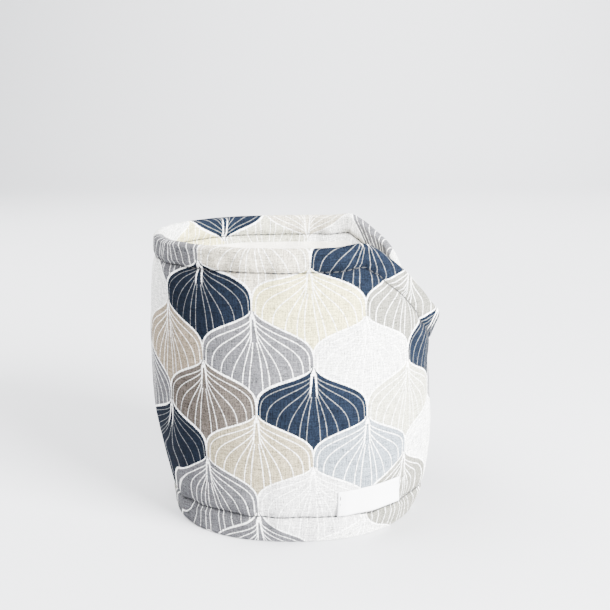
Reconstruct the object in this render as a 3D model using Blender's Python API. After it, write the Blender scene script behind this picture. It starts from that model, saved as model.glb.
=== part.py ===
"""Padded cloth cosy: one band that stands on its hem, a little wider than deep, its ends lapped below a notch.

Metres, +Z up. Azimuth 0 is +X, where the notch is, azimuth -90 is the front, and the hem lies on z = 0.
Sizes below are in millimetres and degrees. A turn is the angle from the band's outer end to its inner end.
"""

import math
from typing import NamedTuple

import bmesh
import bpy

MM = 0.001


class Around(NamedTuple):
    """Eight values 45 degrees of azimuth apart, named by compass: the notch is east and the front is south."""

    e: float
    ne: float
    n: float
    nw: float
    w: float
    sw: float
    s: float
    se: float


class Edge(NamedTuple):
    """Height of the rim at a number of degrees away from the middle of the notch."""

    away: float
    z: float


class Row(NamedTuple):
    """One row of the band near an edge: how far it is from that edge and how thick the band is."""

    reach: float
    thick: float


class Fold(NamedTuple):
    """A soft ridge, or a trough where rise is negative. It leans by degrees of azimuth for each mm of height."""

    azimuth: float
    z: float
    half_width: float
    half_height: float
    lean: float
    rise: float


class Ripple(NamedTuple):
    """A wave that the seams draw into the cloth, start degrees on from azimuth 0."""

    waves: int
    rise: float
    start: float


# Radius of the band's outer face at each height: drawn in at the hem and fullest in the middle
SECTIONS = {
    0: Around(e=57.6, ne=56.5, n=53.5, nw=56.8, w=54.6, sw=55.2, s=52.4, se=56.4),
    7: Around(e=60.2, ne=58.8, n=55.4, nw=58.6, w=55.4, sw=56.0, s=55.2, se=58.6),
    14: Around(e=61.6, ne=60.0, n=56.6, nw=59.4, w=56.6, sw=56.8, s=56.8, se=59.6),
    25: Around(e=63.4, ne=61.0, n=57.2, nw=60.0, w=58.9, sw=58.4, s=57.4, se=60.4),
    38: Around(e=64.2, ne=61.4, n=57.4, nw=60.4, w=61.2, sw=59.8, s=57.6, se=60.8),
    55: Around(e=63.2, ne=61.2, n=57.4, nw=60.8, w=63.2, sw=60.8, s=57.5, se=60.6),
    75: Around(e=62.8, ne=61.0, n=57.2, nw=61.0, w=63.8, sw=60.9, s=57.3, se=60.4),
    97: Around(e=63.4, ne=61.2, n=57.0, nw=60.8, w=63.0, sw=60.4, s=57.0, se=60.6),
    125: Around(e=63.2, ne=60.6, n=56.8, nw=60.0, w=61.2, sw=59.6, s=56.8, se=60.6),
}

# The rim is level, rises a little at the notch's two shoulders and dips between them
RIM = (
    Edge(away=-8, z=89.0),
    Edge(away=0, z=84.5),
    Edge(away=8, z=89.0),
    Edge(away=16, z=95.2),
    Edge(away=20, z=98.8),
    Edge(away=25, z=103.2),
    Edge(away=31, z=108.0),
    Edge(away=37, z=112.6),
    Edge(away=47, z=119.8),
    Edge(away=54, z=124.2),
    Edge(away=60, z=126.4),
    Edge(away=72, z=125.2),
    Edge(away=100, z=125.0),
    Edge(away=180, z=125.0),
)
CORNER = 84.5  # height of the rim over the lapped ends
CORNER_DROP = 3.2  # how far the rim rounds off at each end
CORNER_TURN = 4.0  # over this turn

# The padding is puffed between each edge and the row of stitches that pinches it
HEM_ROWS = (
    Row(0, 3.6),
    Row(0.7, 4.8),
    Row(2.4, 5.6),
    Row(6, 5.8),
    Row(9.8, 5.0),
    Row(12.5, 2.9),
    Row(15, 4.2),
    Row(18.5, 4.8),
)
RIM_ROWS = (
    Row(15.5, 4.8),
    Row(12, 4.2),
    Row(9.5, 2.8),
    Row(6.8, 5.3),
    Row(3.4, 5.8),
    Row(1.4, 4.8),
    Row(0.4, 2.9),
    Row(0, 1.0),
)
END_ROWS = (Row(0, 1.4), Row(0.6, 3.0), Row(2, 4.8), Row(5, 5.4), Row(9, 6.0))
WALL = 4.8  # outer cloth, padding and lining between the seams
BODY_ROWS = 8
COLUMN = 4.3  # turn from one column of points to the next
TURN_MM = 1.06  # length of cloth in one degree of turn
HEM_SEAM = Around(e=10.6, ne=11.4, n=12.3, nw=10.8, w=8.0, sw=11.2, s=12.7, se=11.2)  # height of its stitches
HEM_SEAM_ROW = 12.5  # height at which HEM_ROWS has them
RIM_SEAM = 9.5  # depth of the rim's stitches, square to the edge
MOST_SLANT = 1.45  # how much deeper they may lie, straight down, where the rim slopes

# The ends lap below the notch, the front one outside
LAP = 12.0  # how far each end runs past the middle of the notch
WHOLE = 360 + 2 * LAP
LAP_EASE = 30.0  # the inner end moves in and is pressed thinner over this turn
LAP_THICK = 3.4  # how thick it is there
LAP_GAP = 0.9  # air between the lapped layers
LAP_STEP = (5.8 + LAP_THICK) / 2 + LAP_GAP  # how far in the inner end lies
LAP_STEP_HEM = (3.6 + LAP_THICK) / 2 + LAP_GAP  # how far in it lies at the floor
LAP_STEP_Z = 3.0  # height by which it has the full step

# Beside the notch the rim is pushed out from its stitches
FLARE = 3.6
FLARE_AWAY = 11.0  # degrees from the notch's middle
FLARE_WIDTH = 11.0
FLARE_DEPTH = (2.0, 10.5)  # full above the first depth under the rim, gone below the second

FOLDS = (
    Fold(azimuth=-6, z=67, half_width=12, half_height=6, lean=0.0, rise=-0.9),
    Fold(azimuth=-28, z=88, half_width=6, half_height=15, lean=0.9, rise=-0.7),
    Fold(azimuth=-48, z=100, half_width=8, half_height=22, lean=1.1, rise=0.7),
    Fold(azimuth=-16, z=24, half_width=4, half_height=11, lean=0.25, rise=0.8),
    Fold(azimuth=-24, z=22, half_width=4, half_height=10, lean=0.3, rise=-0.8),
    Fold(azimuth=-33, z=26, half_width=5, half_height=12, lean=0.4, rise=0.6),
    Fold(azimuth=-150, z=24, half_width=9, half_height=13, lean=-0.5, rise=-0.7),
    Fold(azimuth=-163, z=44, half_width=8, half_height=20, lean=-0.2, rise=0.6),
    Fold(azimuth=-118, z=60, half_width=13, half_height=40, lean=0.1, rise=-0.5),
    Fold(azimuth=-78, z=74, half_width=15, half_height=36, lean=-0.1, rise=0.4),
    Fold(azimuth=155, z=14, half_width=10, half_height=14, lean=0.0, rise=1.2),
    Fold(azimuth=128, z=40, half_width=10, half_height=34, lean=0.2, rise=-0.6),
    Fold(azimuth=82, z=58, half_width=14, half_height=40, lean=-0.15, rise=0.6),
    Fold(azimuth=50, z=70, half_width=10, half_height=30, lean=0.25, rise=-0.7),
)
RIPPLES = (Ripple(waves=19, rise=0.3, start=40), Ripple(waves=27, rise=0.25, start=115), Ripple(8, 0.35, 200))
RIPPLE_REACH = 9.0  # distance from a seam at which its ripples fade
SETTLED_Z = 3.0  # folds and ripples begin by this height, so that the hem lies flat

# The label is a short tape that lies on the front just above the hem's stitches
LABEL_LEFT = -70.5
LABEL_RIGHT = -39.5
LABEL_LOW_LEFT = 12.4
LABEL_LOW_RIGHT = 11.9
LABEL_HIGH = 11.5
LABEL_THICK = 1.0
LABEL_GAP = 0.3
LABEL_CURL = 0.5  # how far its right end stands off
LABEL_SEAT = 3.0  # it spans the dips of the cloth within this height
LABEL_COLUMNS = 14
LABEL_ROWS = 4

COTTON = (0.62, 0.60, 0.57)
TAPE = (0.85, 0.85, 0.84)


def curve(knots, values, at):
    """A smooth curve through the knots that doesn't overshoot them, level beyond both ends."""
    steps = [(values[k + 1] - values[k]) / (knots[k + 1] - knots[k]) for k in range(len(knots) - 1)]
    slopes = [steps[0]]
    for before, after in zip(steps, steps[1:]):
        slopes.append(0.0 if before * after <= 0 else 2 * before * after / (before + after))
    slopes.append(steps[-1])
    if at <= knots[0]:
        return values[0]
    for k, step in enumerate(steps):
        if at <= knots[k + 1]:
            span = knots[k + 1] - knots[k]
            t = (at - knots[k]) / span
            bend_in, bend_out = slopes[k] - step, slopes[k + 1] - step
            return values[k] + span * t * (step + (1 - t) * ((1 - t) * bend_in - t * bend_out))
    return values[-1]


def round_curve(around, azimuth):
    """A smooth closed curve through eight values that stand 45 degrees apart."""
    place = azimuth % 360 * len(around) / 360
    k, t = int(place), place - int(place)
    a, b, c, d = (around[(k + shift) % len(around)] for shift in (-1, 0, 1, 2))
    return b + 0.5 * t * (c - a + t * (2 * a - 5 * b + 4 * c - d + t * (3 * (b - c) + d - a)))


def smoothstep(low, high, at):
    """0 below low, 1 above high, and an S curve between them."""
    t = min(1.0, max(0.0, (at - low) / (high - low)))
    return t * t * (3 - 2 * t)


def bell(distance, width):
    """1 at no distance, and falling away over the width."""
    return math.exp(-((distance / width) ** 2))


def between(azimuth, other):
    """Degrees from the other azimuth to this one, from -180 to 180."""
    return (azimuth - other + 180) % 360 - 180


def rim_height(turn):
    """Height of the rim: level over the lapped ends and rounded off at each."""
    if turn < LAP or turn > 360 + LAP:
        return CORNER - CORNER_DROP * max(0.0, 1 - min(turn, WHOLE - turn) / CORNER_TURN) ** 2
    return curve([edge.away for edge in RIM], [edge.z for edge in RIM], abs(between(LAP, turn)))


def fold_rise(azimuth, z):
    """How far the folds push the cloth out."""
    rise = 0.0
    for fold in FOLDS:
        across = between(azimuth, fold.azimuth) - fold.lean * (z - fold.z)
        rise += fold.rise * bell(across, fold.half_width) * bell(z - fold.z, fold.half_height)
    return rise


def ripple_rise(azimuth, z, rim):
    """How far the ripples beside the two seams push the cloth out."""
    to_seam = min(abs(z - round_curve(HEM_SEAM, azimuth)), abs(z - rim + RIM_SEAM))
    wave = sum(r.rise * math.sin(math.radians(r.waves * azimuth + r.start)) for r in RIPPLES)
    return wave * bell(to_seam, RIPPLE_REACH)


def flare(turn, depth):
    """How far the rim stands out beside the notch, on the outer layer only."""
    outer = 1 - smoothstep(360 - 2 * LAP_EASE, 360 - LAP_EASE, turn)
    away = abs(between(LAP, turn))
    return FLARE * bell(away - FLARE_AWAY, FLARE_WIDTH) * (1 - smoothstep(*FLARE_DEPTH, depth)) * outer


def outer_radius(turn, z):
    """Radius of the band's outer face where it is as thick as its wall, before the inner end moves in."""
    azimuth, rim = LAP - turn, rim_height(turn)
    smooth = curve(list(SECTIONS), [round_curve(around, azimuth) for around in SECTIONS.values()], z)
    uneven = fold_rise(azimuth, z) + ripple_rise(azimuth, z, rim) + flare(turn, rim - z)
    return smooth + smoothstep(0, SETTLED_Z, z) * uneven


def column_turns():
    """The turn of each column of points, closer together at both ends."""
    near = [row.reach / TURN_MM for row in END_ROWS]
    inside = WHOLE - 2 * near[-1]
    count = round(inside / COLUMN)
    middle = [near[-1] + inside * k / count for k in range(1, count)]
    return near + middle + [WHOLE - reach for reach in reversed(near)]


def column_rows(turn):
    """(height, thickness) of each row of points in a column, hem first."""
    rim = rim_height(turn)
    slope = (rim_height(turn + 1) - rim_height(turn - 1)) / (2 * TURN_MM)
    slant = min(MOST_SLANT, math.hypot(1, slope))
    lift = round_curve(HEM_SEAM, LAP - turn) / HEM_SEAM_ROW
    rows = [(row.reach * lift, row.thick) for row in HEM_ROWS]
    low, high = rows[-1][0], rim - RIM_ROWS[0].reach * slant
    rows += [(low + (high - low) * k / (BODY_ROWS + 1), WALL) for k in range(1, BODY_ROWS + 1)]
    return rows + [(rim - row.reach * slant, row.thick) for row in RIM_ROWS]


def lapped(turn):
    """0 where the band is one layer, and 1 where it lies under its outer end."""
    return smoothstep(360 - LAP_EASE, 357, turn)


def point(radius, azimuth, z):
    """A point in metres."""
    angle = math.radians(azimuth)
    return (radius * MM * math.cos(angle), radius * MM * math.sin(angle), z * MM)


def band_point(turn, z, thick, side):
    """A point of the band's outer face (side 1) or inner face (side -1)."""
    reach, inner = TURN_MM * min(turn, WHOLE - turn), lapped(turn)
    thick += (min(thick, LAP_THICK) - thick) * inner
    thick = min(thick, curve([row.reach for row in END_ROWS], [row.thick for row in END_ROWS], reach))
    step = LAP_STEP_HEM + (LAP_STEP - LAP_STEP_HEM) * min(1.0, z / LAP_STEP_Z)
    middle = outer_radius(turn, z) - WALL / 2 - step * inner
    return point(middle + side * thick / 2, LAP - turn, z)


def face_radius(turn, z):
    """Radius of the band's outer face, its puffed and pinched rows included."""
    heights, thicknesses = zip(*column_rows(turn))
    return outer_radius(turn, z) + (curve(heights, thicknesses, z) - WALL) / 2


def cloth(name, colour, roughness):
    """A Principled material for cloth."""
    material = bpy.data.materials.new(name)
    material.use_nodes = True
    shader = material.node_tree.nodes["Principled BSDF"]
    shader.inputs["Base Color"].default_value = (*colour, 1)
    shader.inputs["Roughness"].default_value = roughness
    shader.inputs["Metallic"].default_value = 0
    return material


def sheet_object(name, columns, rows, place, material):
    """A closed sheet: a grid, doubled and joined round its edge.

    place(column, row, side) gives the point of the outer face (side 1) or inner face (side -1).
    """
    bm = bmesh.new()
    bmesh.ops.create_grid(bm, x_segments=columns - 1, y_segments=rows - 1, size=1)
    spot = bm.verts.layers.int.new("spot")
    for vert in bm.verts:
        column = round((vert.co.x + 1) / 2 * (columns - 1))
        row = round((vert.co.y + 1) / 2 * (rows - 1))
        vert[spot] = row * columns + column
    outer = set(bm.verts)
    bmesh.ops.extrude_face_region(bm, geom=bm.faces[:])
    for vert in bm.verts:
        row, column = divmod(vert[spot], columns)
        vert.co = place(column, row, 1 if vert in outer else -1)
    bm.verts.layers.int.remove(spot)
    bm.normal_update()
    bmesh.ops.recalc_face_normals(bm, faces=bm.faces)
    mesh = bpy.data.meshes.new(name)
    bm.to_mesh(mesh)
    bm.free()
    mesh.shade_smooth()
    mesh.materials.append(material)
    piece = bpy.data.objects.new(name, mesh)
    bpy.context.collection.objects.link(piece)
    return piece


def make_band():
    """The padded band, its hems included."""
    turns = column_turns()
    rows = [column_rows(turn) for turn in turns]

    def place(column, row, side):
        return band_point(turns[column], *rows[column][row], side)

    return sheet_object("cosy_band", len(turns), len(rows[0]), place, cloth("printed_cotton", COTTON, 0.9))


def make_label():
    """The bare tape, lying on the band's outer face."""

    def place(column, row, side):
        along, up = column / (LABEL_COLUMNS - 1), row / (LABEL_ROWS - 1)
        azimuth = LABEL_LEFT + (LABEL_RIGHT - LABEL_LEFT) * along
        z = LABEL_LOW_LEFT + (LABEL_LOW_RIGHT - LABEL_LOW_LEFT) * along + LABEL_HIGH * up
        shifts = (-LABEL_SEAT, -LABEL_SEAT / 2, 0, LABEL_SEAT / 2, LABEL_SEAT)
        seat = max(face_radius(LAP - azimuth, z + shift) for shift in shifts)
        lift = LABEL_GAP + LABEL_CURL * along**3 + (LABEL_THICK if side > 0 else 0)
        return point(seat + lift, azimuth, z)

    return sheet_object("label_tape", LABEL_COLUMNS, LABEL_ROWS, place, cloth("label_weave", TAPE, 0.8))


def centre(pieces):
    """Moves the points so that the middle of the whole part's box stands over the origin."""
    spots = [vert.co for piece in pieces for vert in piece.data.vertices]
    middle = [(min(s[k] for s in spots) + max(s[k] for s in spots)) / 2 for k in (0, 1)]
    for spot in spots:
        spot.x -= middle[0]
        spot.y -= middle[1]


def main():
    """Clears the scene and builds the cosy."""
    for leftover in list(bpy.data.objects):
        bpy.data.objects.remove(leftover)
    centre([make_band(), make_label()])


main()
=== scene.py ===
"""Dressed scene of a padded cotton cosy that stands on its hem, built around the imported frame.

The classes hold their sizes in millimetres and degrees, and the meshes are in metres. Azimuth 0 is +X, where
the notch is, and azimuth -90 is the front. A turn is the angle from the band's outer end to its inner end.
"""

import logging
import math
from dataclasses import dataclass, field
from enum import Enum
from functools import cached_property
from typing import Callable, Sequence, Union

import bmesh
import bpy
from mathutils import Matrix, Vector, noise

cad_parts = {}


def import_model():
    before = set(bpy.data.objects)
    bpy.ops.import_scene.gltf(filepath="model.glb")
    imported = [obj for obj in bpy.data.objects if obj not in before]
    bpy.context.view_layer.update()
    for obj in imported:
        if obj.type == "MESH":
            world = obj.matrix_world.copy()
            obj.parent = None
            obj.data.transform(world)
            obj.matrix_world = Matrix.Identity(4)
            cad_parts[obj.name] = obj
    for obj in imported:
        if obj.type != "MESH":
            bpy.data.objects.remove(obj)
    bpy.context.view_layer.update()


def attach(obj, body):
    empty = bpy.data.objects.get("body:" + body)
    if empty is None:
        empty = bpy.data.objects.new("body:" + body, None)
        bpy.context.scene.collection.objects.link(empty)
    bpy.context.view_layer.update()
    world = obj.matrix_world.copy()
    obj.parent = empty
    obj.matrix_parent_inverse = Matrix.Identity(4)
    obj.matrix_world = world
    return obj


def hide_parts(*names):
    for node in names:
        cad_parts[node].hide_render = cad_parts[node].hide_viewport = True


MM = 0.001
BODY = "root"
CLOTH_MAP = "cloth"
# The map that places the painted shade along each row of stitches.
CREASE_MAP = "crease"
THREAD_MAP = "thread"
LAYERS = ("column", "row", "side")
FRONT = -90.0  # The azimuth of the front, in degrees.
PUCKER_NOISE, SLACK_NOISE = 7.0, 3.0  # Where in the noise the puckers and the slack are read.
GRAIN_MIDDLE = 0.5  # What uneven grain comes to on average.
FAR = 100.0  # A distance in mm beyond any in the print.
LOG = logging.getLogger("cosy")

Input = Union[float, "Number"]
Colour = tuple[float, float, float, float]
Spot = tuple[float, float, float]
Place = Callable[[int, int, int], Vector]
Points = dict[tuple[int, int, int], Vector]
Run = Sequence[tuple[Vector, Vector]]


def smoothstep(low: float, high: float, at: float) -> float:
    """Gives 0 below low, 1 above high, and an S curve between them.

    Args:
        low: Where the curve leaves 0.
        high: Where it reaches 1.
        at: Where it is read.

    Returns:
        The curve's value, from 0 to 1.
    """
    t = min(1.0, max(0.0, (at - low) / (high - low)))
    return t * t * (3 - 2 * t)


def bell(distance: float, width: float) -> float:
    """Gives 1 at no distance, falling away over the width.

    Args:
        distance: How far the point is from the bell's middle.
        width: The distance at which a bit over a third is left.

    Returns:
        The bell's height, from 0 to 1.
    """
    return math.exp(-((distance / width) ** 2))


def between(azimuth: float, other: float) -> float:
    """Gives the degrees from one azimuth to another.

    Args:
        azimuth: The azimuth that is reached.
        other: The azimuth that is left.

    Returns:
        The turn, from -180 to 180.
    """
    return (azimuth - other + 180) % 360 - 180


def outward(azimuth: float) -> Vector:
    """Gives the level direction out from the middle, at an azimuth in degrees."""
    angle = math.radians(azimuth)
    return Vector((math.cos(angle), math.sin(angle), 0))


@dataclass(frozen=True)
class Curve:
    """A smooth curve through its knots that doesn't overshoot them, level beyond both ends."""

    knots: tuple[float, ...]
    values: tuple[float, ...]

    @cached_property
    def steps(self) -> tuple[float, ...]:
        """The straight slope from each knot to the next."""
        pairs = zip(self.knots, self.knots[1:], self.values, self.values[1:])
        return tuple((after - before) / (end - start) for start, end, before, after in pairs)

    @cached_property
    def slopes(self) -> tuple[float, ...]:
        """The curve's own slope at each knot."""
        steps = self.steps
        inner = (0.0 if a * b <= 0 else 2 * a * b / (a + b) for a, b in zip(steps, steps[1:]))
        return (steps[0], *inner, steps[-1])

    def at(self, place: float) -> float:
        """Reads the curve.

        Args:
            place: Where it is read.

        Returns:
            The curve's value there.
        """
        if place <= self.knots[0]:
            return self.values[0]
        for k, step in enumerate(self.steps):
            if place <= self.knots[k + 1]:
                span = self.knots[k + 1] - self.knots[k]
                t = (place - self.knots[k]) / span
                bend_in, bend_out = self.slopes[k] - step, self.slopes[k + 1] - step
                return self.values[k] + span * t * (step + (1 - t) * ((1 - t) * bend_in - t * bend_out))
        return self.values[-1]


@dataclass(frozen=True)
class Around:
    """Eight values 45 degrees of azimuth apart, named by compass.

    The notch is east and the front is south.
    """

    e: float
    ne: float
    n: float
    nw: float
    w: float
    sw: float
    s: float
    se: float

    @cached_property
    def values(self) -> tuple[float, ...]:
        """The eight values in the order of their azimuths."""
        return (self.e, self.ne, self.n, self.nw, self.w, self.sw, self.s, self.se)

    def at(self, azimuth: float) -> float:
        """Reads the smooth closed curve through the eight values.

        Args:
            azimuth: Where it is read, in degrees.

        Returns:
            The curve's value there.
        """
        place = azimuth % 360 * len(self.values) / 360
        k, t = int(place), place - int(place)
        a, b, c, d = (self.values[(k + shift) % len(self.values)] for shift in (-1, 0, 1, 2))
        return b + 0.5 * t * (c - a + t * (2 * a - 5 * b + 4 * c - d + t * (3 * (b - c) + d - a)))


@dataclass(frozen=True)
class Fold:
    """A soft ridge, or a trough where rise is negative.

    It leans by degrees of azimuth for each mm of height.
    """

    azimuth: float
    z: float
    half_width: float
    half_height: float
    lean: float
    rise: float

    def at(self, azimuth: float, z: float) -> float:
        """Gives how far the fold pushes the cloth out.

        Args:
            azimuth: Where the cloth is, in degrees.
            z: Its height.

        Returns:
            The push, in mm.
        """
        across = between(azimuth, self.azimuth) - self.lean * (z - self.z)
        return self.rise * bell(across, self.half_width) * bell(z - self.z, self.half_height)


@dataclass(frozen=True)
class Ripple:
    """A wave that the seams draw into the cloth, start degrees on from azimuth 0."""

    waves: int
    rise: float
    start: float

    def at(self, azimuth: float) -> float:
        """Gives the wave's push beside a seam, in mm, at an azimuth in degrees."""
        return self.rise * math.sin(math.radians(self.waves * azimuth + self.start))


@dataclass(frozen=True)
class BandShape:
    """The padded band's form: its radius, rim, thickness, folds and seams at each turn and height."""

    sections: dict[float, Around] = field(
        default_factory=lambda: {
            0: Around(e=57.6, ne=56.5, n=53.5, nw=56.8, w=54.6, sw=55.2, s=52.4, se=56.4),
            7: Around(e=60.2, ne=58.8, n=55.4, nw=58.6, w=55.4, sw=56.0, s=55.2, se=58.6),
            14: Around(e=61.6, ne=60.0, n=56.6, nw=59.4, w=56.6, sw=56.8, s=56.8, se=59.6),
            25: Around(e=63.4, ne=61.0, n=57.2, nw=60.0, w=58.9, sw=58.4, s=57.4, se=60.4),
            38: Around(e=64.2, ne=61.4, n=57.4, nw=60.4, w=61.2, sw=59.8, s=57.6, se=60.8),
            55: Around(e=63.2, ne=61.2, n=57.4, nw=60.8, w=63.2, sw=60.8, s=57.5, se=60.6),
            75: Around(e=62.8, ne=61.0, n=57.2, nw=61.0, w=63.8, sw=60.9, s=57.3, se=60.4),
            97: Around(e=63.4, ne=61.2, n=57.0, nw=60.8, w=63.0, sw=60.4, s=57.0, se=60.6),
            125: Around(e=63.2, ne=60.6, n=56.8, nw=60.0, w=61.2, sw=59.6, s=56.8, se=60.6),
        }
    )
    rim: Curve = Curve(
        knots=(-8, 0, 8, 16, 20, 25, 31, 37, 47, 54, 60, 72, 100, 180),
        values=(89, 84.5, 89, 95.2, 98.8, 103.2, 108, 112.6, 119.8, 124.2, 126.4, 125.2, 125, 125),
    )
    hem_thick: Curve = Curve(
        knots=(0, 0.7, 2.4, 6, 9.8, 12.5, 15, 18.5),
        values=(3.6, 4.8, 5.6, 5.8, 5.0, 2.9, 4.2, 4.8),
    )
    rim_thick: Curve = Curve(
        knots=(0, 0.4, 1.4, 3.4, 6.8, 9.5, 12, 15.5),
        values=(1.0, 2.9, 4.8, 5.8, 5.3, 2.8, 4.2, 4.8),
    )
    end_thick: Curve = Curve(knots=(0, 0.6, 2, 5, 9), values=(1.4, 3.0, 4.8, 5.4, 6.0))
    hem_seam: Around = Around(e=10.6, ne=11.4, n=12.3, nw=10.8, w=8.0, sw=11.2, s=12.7, se=11.2)
    hem_seam_row: float = 12.5
    rim_seam: float = 9.5
    end_seam: float = 6.5
    most_slant: float = 1.45
    wall: float = 4.8
    corner: float = 84.5
    corner_drop: float = 3.2
    corner_turn: float = 4.0
    turn_mm: float = 1.06
    lap: float = 12.0
    lap_ease: float = 30.0
    lap_full: float = 3.0
    lap_thick: float = 3.4
    lap_step: float = 5.5
    lap_step_hem: float = 4.4
    lap_step_z: float = 3.0
    flare: float = 3.6
    flare_away: float = 11.0
    flare_width: float = 11.0
    flare_depth: tuple[float, float] = (2.0, 10.5)
    folds: tuple[Fold, ...] = (
        Fold(azimuth=-6, z=67, half_width=12, half_height=6, lean=0.0, rise=-0.9),
        Fold(azimuth=-28, z=88, half_width=6, half_height=15, lean=0.9, rise=-0.7),
        Fold(azimuth=-48, z=100, half_width=8, half_height=22, lean=1.1, rise=0.7),
        Fold(azimuth=-16, z=24, half_width=4, half_height=11, lean=0.25, rise=0.8),
        Fold(azimuth=-24, z=22, half_width=4, half_height=10, lean=0.3, rise=-0.8),
        Fold(azimuth=-33, z=26, half_width=5, half_height=12, lean=0.4, rise=0.6),
        Fold(azimuth=-150, z=24, half_width=9, half_height=13, lean=-0.5, rise=-0.7),
        Fold(azimuth=-163, z=44, half_width=8, half_height=20, lean=-0.2, rise=0.6),
        Fold(azimuth=-118, z=60, half_width=13, half_height=40, lean=0.1, rise=-0.5),
        Fold(azimuth=-78, z=74, half_width=15, half_height=36, lean=-0.1, rise=0.4),
        Fold(azimuth=155, z=14, half_width=10, half_height=14, lean=0.0, rise=1.2),
        Fold(azimuth=128, z=40, half_width=10, half_height=34, lean=0.2, rise=-0.6),
        Fold(azimuth=82, z=58, half_width=14, half_height=40, lean=-0.15, rise=0.6),
        Fold(azimuth=50, z=70, half_width=10, half_height=30, lean=0.25, rise=-0.7),
    )
    ripples: tuple[Ripple, ...] = (
        Ripple(waves=19, rise=0.3, start=40),
        Ripple(waves=27, rise=0.25, start=115),
        Ripple(waves=8, rise=0.35, start=200),
    )
    ripple_reach: float = 9.0
    settled_z: float = 3.0
    settled_end: float = 1.0
    pucker: float = 0.4
    pucker_size: tuple[float, float] = (5.5, 22.0)
    pucker_aside: float = 1.5
    pucker_reach: float = 3.6
    end_pinch: float = 0.4
    end_pinch_width: float = 2.4
    end_pinch_reach: float = 14.4
    groove: float = 0.5
    groove_width: float = 1.0
    slack: float = 0.32
    slack_length: float = 15.0
    middle: tuple[float, float] = (0.905, 0.128)

    @property
    def whole(self) -> float:
        """The turn from one end of the band to the other, in degrees."""
        return 360 + 2 * self.lap

    def rim_height(self, turn: float) -> float:
        """Gives the rim's height, level over the lapped ends and rounded off at each.

        Args:
            turn: Where the rim is read, in degrees.

        Returns:
            Its height.
        """
        if turn < self.lap or turn > 360 + self.lap:
            from_end = min(turn, self.whole - turn)
            return self.corner - self.corner_drop * max(0.0, 1 - from_end / self.corner_turn) ** 2
        return self.rim.at(abs(between(self.lap, turn)))

    def slant(self, turn: float) -> float:
        """Gives how much deeper than square to the rim its seam lies, straight down, at a turn in degrees."""
        slope = (self.rim_height(turn + 1) - self.rim_height(turn - 1)) / (2 * self.turn_mm)
        return min(self.most_slant, math.hypot(1, slope))

    def lapped(self, turn: float) -> float:
        """Gives 0 where the band is one layer and 1 under its outer end, at a turn in degrees."""
        return smoothstep(360 - self.lap_ease, 360 - self.lap_full, turn)

    def column(self, turn: float) -> "Column":
        """Gives the band's section at a turn in degrees."""
        return Column(self, turn)

    def place(self, azimuth: float, radius: float, z: float) -> Vector:
        """Gives a point in the frame.

        Args:
            azimuth: Its azimuth, in degrees.
            radius: Its distance from the band's own axis, in mm.
            z: Its height.

        Returns:
            The point, in metres.
        """
        angle = math.radians(azimuth)
        x, y = self.middle
        return Vector((radius * math.cos(angle) - x, radius * math.sin(angle) - y, z)) * MM


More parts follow.
